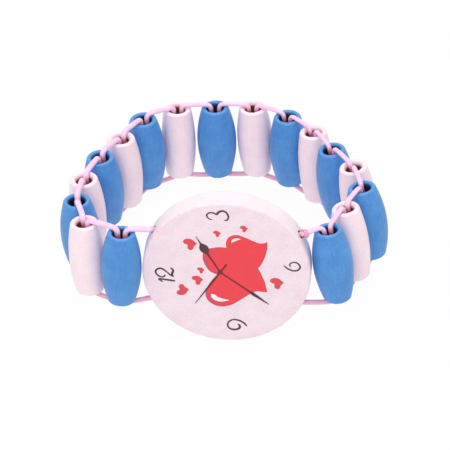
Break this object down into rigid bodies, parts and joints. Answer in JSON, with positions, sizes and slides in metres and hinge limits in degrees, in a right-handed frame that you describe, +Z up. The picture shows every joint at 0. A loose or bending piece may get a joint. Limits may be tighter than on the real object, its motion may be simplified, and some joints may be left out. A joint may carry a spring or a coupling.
{
  "type": "toy watch",
  "caption": "Pretend wristwatch for a child: a painted wooden disc with a printed dial on a band of barrel beads strung on elastic.",
  "frame": {"origin": "on the ground under the middle of the box round the watch as it lies, standing on the rim of its dial and on the elastic under its rear beads", "axes": "+X to the right as one looks at the dial, +Y from the dial to the rear beads, +Z up; the band lies 9.8 degrees lower at its rear than at its dial"},
  "size_m": [0.07, 0.057, 0.0358],
  "materials": {
    "dial_paint": "pale pink satin paint on wood, with a fine orange peel",
    "blue_paint": "blue satin paint on a turned wooden bead",
    "pink_paint": "pale pink satin paint on a turned wooden bead",
    "red_ink": "printed red ink",
    "dark_ink": "printed dark brown ink",
    "elastic": "smooth pink elastic cord"
  },
  "bodies": {
    "dial": {"dial": "dial_paint", "numerals": "dark_ink", "hearts": "red_ink", "hands": "dark_ink", "elastic_01": "elastic"},
    "stretch_01": {"elastic_02": "elastic"},
    "bead_01": {"bead_01": "blue_paint"},
    "stretch_02": {"elastic_03": "elastic"},
    "bead_02": {"bead_02": "pink_paint"},
    "stretch_03": {"elastic_04": "elastic"},
    "bead_03": {"bead_03": "blue_paint"},
    "stretch_04": {"elastic_05": "elastic"},
    "bead_04": {"bead_04": "pink_paint"},
    "stretch_05": {"elastic_06": "elastic"},
    "bead_05": {"bead_05": "blue_paint"},
    "stretch_06": {"elastic_07": "elastic"},
    "bead_06": {"bead_06": "pink_paint"},
    "stretch_07": {"elastic_08": "elastic"},
    "bead_07": {"bead_07": "blue_paint"},
    "stretch_08": {"elastic_09": "elastic"},
    "bead_08": {"bead_08": "pink_paint"},
    "stretch_09": {"elastic_10": "elastic"},
    "bead_09": {"bead_09": "blue_paint"},
    "stretch_10": {"elastic_11": "elastic"},
    "bead_10": {"bead_10": "pink_paint"},
    "stretch_11": {"elastic_12": "elastic"},
    "bead_11": {"bead_11": "blue_paint"},
    "stretch_12": {"elastic_13": "elastic"},
    "bead_12": {"bead_12": "pink_paint"},
    "stretch_13": {"elastic_14": "elastic"},
    "bead_13": {"bead_13": "blue_paint"},
    "stretch_14": {"elastic_15": "elastic"},
    "bead_14": {"bead_14": "pink_paint"},
    "stretch_15": {"elastic_16": "elastic"},
    "bead_15": {"bead_15": "blue_paint"},
    "stretch_16": {"elastic_17": "elastic"},
    "bead_16": {"bead_16": "pink_paint"},
    "stretch_17": {"elastic_18": "elastic", "elastic_knot": "elastic"},
    "bead_17": {"bead_17": "blue_paint"}
  },
  "joints": [
    {"name": "band_stretch", "type": "slide", "parent": "dial", "child": "stretch_01", "axis": [-0.9943, -0.1062, 0], "range_m": [0, 0.00259], "stiffness_N_per_m": 4000, "deforming": ["elastic_01"]},
    {"name": "stretch_02", "type": "slide", "parent": "stretch_01", "child": "stretch_02", "axis": [-0.9088, 0.4173, 0], "range_m": [0, 0.00298], "deforming": ["elastic_02"]},
    {"name": "stretch_03", "type": "slide", "parent": "stretch_02", "child": "stretch_03", "axis": [-0.3789, 0.9254, 0], "range_m": [0, 0.00267], "deforming": ["elastic_03"]},
    {"name": "stretch_04", "type": "slide", "parent": "stretch_03", "child": "stretch_04", "axis": [-0.0535, 0.9986, 0], "range_m": [0, 0.00249], "deforming": ["elastic_04"]},
    {"name": "stretch_05", "type": "slide", "parent": "stretch_04", "child": "stretch_05", "axis": [0.2023, 0.9793, 0], "range_m": [0, 0.00238], "deforming": ["elastic_05"]},
    {"name": "stretch_06", "type": "slide", "parent": "stretch_05", "child": "stretch_06", "axis": [0.3344, 0.9424, 0], "range_m": [0, 0.0023], "deforming": ["elastic_06"]},
    {"name": "stretch_07", "type": "slide", "parent": "stretch_06", "child": "stretch_07", "axis": [0.3652, 0.9309, 0], "range_m": [0, 0.00229], "deforming": ["elastic_07"]},
    {"name": "stretch_08", "type": "slide", "parent": "stretch_07", "child": "stretch_08", "axis": [0.7699, 0.6382, 0], "range_m": [0, 0.00211], "deforming": ["elastic_08"]},
    {"name": "stretch_09", "type": "slide", "parent": "stretch_08", "child": "stretch_09", "axis": [0.9992, 0.0399, 0], "range_m": [0, 0.00201], "deforming": ["elastic_09"]},
    {"name": "stretch_10", "type": "slide", "parent": "stretch_09", "child": "stretch_10", "axis": [0.9992, 0.0399, 0], "range_m": [0, 0.00201], "deforming": ["elastic_10"]},
    {"name": "stretch_11", "type": "slide", "parent": "stretch_10", "child": "stretch_11", "axis": [0.8324, -0.5542, 0], "range_m": [0, 0.00205], "deforming": ["elastic_11"]},
    {"name": "stretch_12", "type": "slide", "parent": "stretch_11", "child": "stretch_12", "axis": [0.57, -0.8216, 0], "range_m": [0, 0.00215], "deforming": ["elastic_12"]},
    {"name": "stretch_13", "type": "slide", "parent": "stretch_12", "child": "stretch_13", "axis": [0.3492, -0.937, 0], "range_m": [0, 0.00222], "deforming": ["elastic_13"]},
    {"name": "stretch_14", "type": "slide", "parent": "stretch_13", "child": "stretch_14", "axis": [0.4158, -0.9095, 0], "range_m": [0, 0.00219], "deforming": ["elastic_14"]},
    {"name": "stretch_15", "type": "slide", "parent": "stretch_14", "child": "stretch_15", "axis": [-0.0185, -0.9998, 0], "range_m": [0, 0.0024], "deforming": ["elastic_15"]},
    {"name": "stretch_16", "type": "slide", "parent": "stretch_15", "child": "stretch_16", "axis": [-0.59, -0.8074, 0], "range_m": [0, 0.00273], "deforming": ["elastic_16"]},
    {"name": "stretch_17", "type": "slide", "parent": "stretch_16", "child": "stretch_17", "axis": [-0.6099, -0.7925, 0], "range_m": [0, 0.00276], "deforming": ["elastic_17", "elastic_18"]},
    {"name": "spin_01", "type": "hinge", "parent": "stretch_01", "child": "bead_01", "pos_m": [-0.02166, -0.02271, 0.01807], "axis": [0.0174, 0.1874, 0.9821], "continuous": true},
    {"name": "spin_02", "type": "hinge", "parent": "stretch_02", "child": "bead_02", "pos_m": [-0.02898, -0.01868, 0.0172], "axis": [-0.0523, 0.2043, 0.9775], "continuous": true},
    {"name": "spin_03", "type": "hinge", "parent": "stretch_03", "child": "bead_03", "pos_m": [-0.03063, -0.01057, 0.0158], "axis": [-0.0698, 0.1698, 0.983], "continuous": true},
    {"name": "spin_04", "type": "hinge", "parent": "stretch_04", "child": "bead_04", "pos_m": [-0.02936, -0.00239, 0.01439], "axis": [-0.0697, 0.1354, 0.9883], "continuous": true},
    {"name": "spin_05", "type": "hinge", "parent": "stretch_05", "child": "bead_05", "pos_m": [-0.02604, 0.00528, 0.01341], "axis": [-0.0697, 0.1182, 0.9905], "continuous": true},
    {"name": "spin_06", "type": "hinge", "parent": "stretch_06", "child": "bead_06", "pos_m": [-0.02177, 0.01237, 0.01201], "axis": [-0.0697, 0.1354, 0.9883], "continuous": true},
    {"name": "spin_07", "type": "hinge", "parent": "stretch_07", "child": "bead_07", "pos_m": [-0.01726, 0.01936, 0.01081], "axis": [-0.0523, 0.1528, 0.9869], "continuous": true},
    {"name": "spin_08", "type": "hinge", "parent": "stretch_08", "child": "bead_08", "pos_m": [-0.01014, 0.02372, 0.00988], "axis": [-0.0174, 0.153, 0.9881], "continuous": true},
    {"name": "spin_09", "type": "hinge", "parent": "stretch_09", "child": "bead_09", "pos_m": [-0.00174, 0.02387, 0.00985], "axis": [-0.0349, 0.1702, 0.9848], "continuous": true},
    {"name": "spin_10", "type": "hinge", "parent": "stretch_10", "child": "bead_10", "pos_m": [0.00665, 0.02402, 0.00983], "axis": [-0.0523, 0.1528, 0.9869], "continuous": true},
    {"name": "spin_11", "type": "hinge", "parent": "stretch_11", "child": "bead_11", "pos_m": [0.01406, 0.02011, 0.0105], "axis": [-0.0349, 0.1529, 0.9876], "continuous": true},
    {"name": "spin_12", "type": "hinge", "parent": "stretch_12", "child": "bead_12", "pos_m": [0.01985, 0.01412, 0.01154], "axis": [-0.0697, 0.187, 0.9799], "continuous": true},
    {"name": "spin_13", "type": "hinge", "parent": "stretch_13", "child": "bead_13", "pos_m": [0.02416, 0.00705, 0.01302], "axis": [-0.1219, 0.186, 0.975], "continuous": true},
    {"name": "spin_14", "type": "hinge", "parent": "stretch_14", "child": "bead_14", "pos_m": [0.02891, 0.00029, 0.01454], "axis": [-0.1564, 0.1851, 0.9702], "continuous": true},
    {"name": "spin_15", "type": "hinge", "parent": "stretch_15", "child": "bead_15", "pos_m": [0.03048, -0.00782, 0.01611], "axis": [-0.1391, 0.2026, 0.9693], "continuous": true},
    {"name": "spin_16", "type": "hinge", "parent": "stretch_16", "child": "bead_16", "pos_m": [0.02683, -0.01527, 0.0174], "axis": [-0.139, 0.2195, 0.9657], "continuous": true},
    {"name": "spin_17", "type": "hinge", "parent": "stretch_17", "child": "bead_17", "pos_m": [0.02294, -0.02267, 0.01833], "axis": [-0.1217, 0.22, 0.9679], "continuous": true}
  ],
  "couplings": [
    {"joint": "stretch_02", "follows": "band_stretch", "ratio": 1.1522},
    {"joint": "stretch_03", "follows": "band_stretch", "ratio": 1.031},
    {"joint": "stretch_04", "follows": "band_stretch", "ratio": 0.9633},
    {"joint": "stretch_05", "follows": "band_stretch", "ratio": 0.92058},
    {"joint": "stretch_06", "follows": "band_stretch", "ratio": 0.88712},
    {"joint": "stretch_07", "follows": "band_stretch", "ratio": 0.88461},
    {"joint": "stretch_08", "follows": "band_stretch", "ratio": 0.81361},
    {"joint": "stretch_09", "follows": "band_stretch", "ratio": 0.77518},
    {"joint": "stretch_10", "follows": "band_stretch", "ratio": 0.77518},
    {"joint": "stretch_11", "follows": "band_stretch", "ratio": 0.79225},
    {"joint": "stretch_12", "follows": "band_stretch", "ratio": 0.82891},
    {"joint": "stretch_13", "follows": "band_stretch", "ratio": 0.85908},
    {"joint": "stretch_14", "follows": "band_stretch", "ratio": 0.84707},
    {"joint": "stretch_15", "follows": "band_stretch", "ratio": 0.92548},
    {"joint": "stretch_16", "follows": "band_stretch", "ratio": 1.0533},
    {"joint": "stretch_17", "follows": "band_stretch", "ratio": 1.0644}
  ]
}
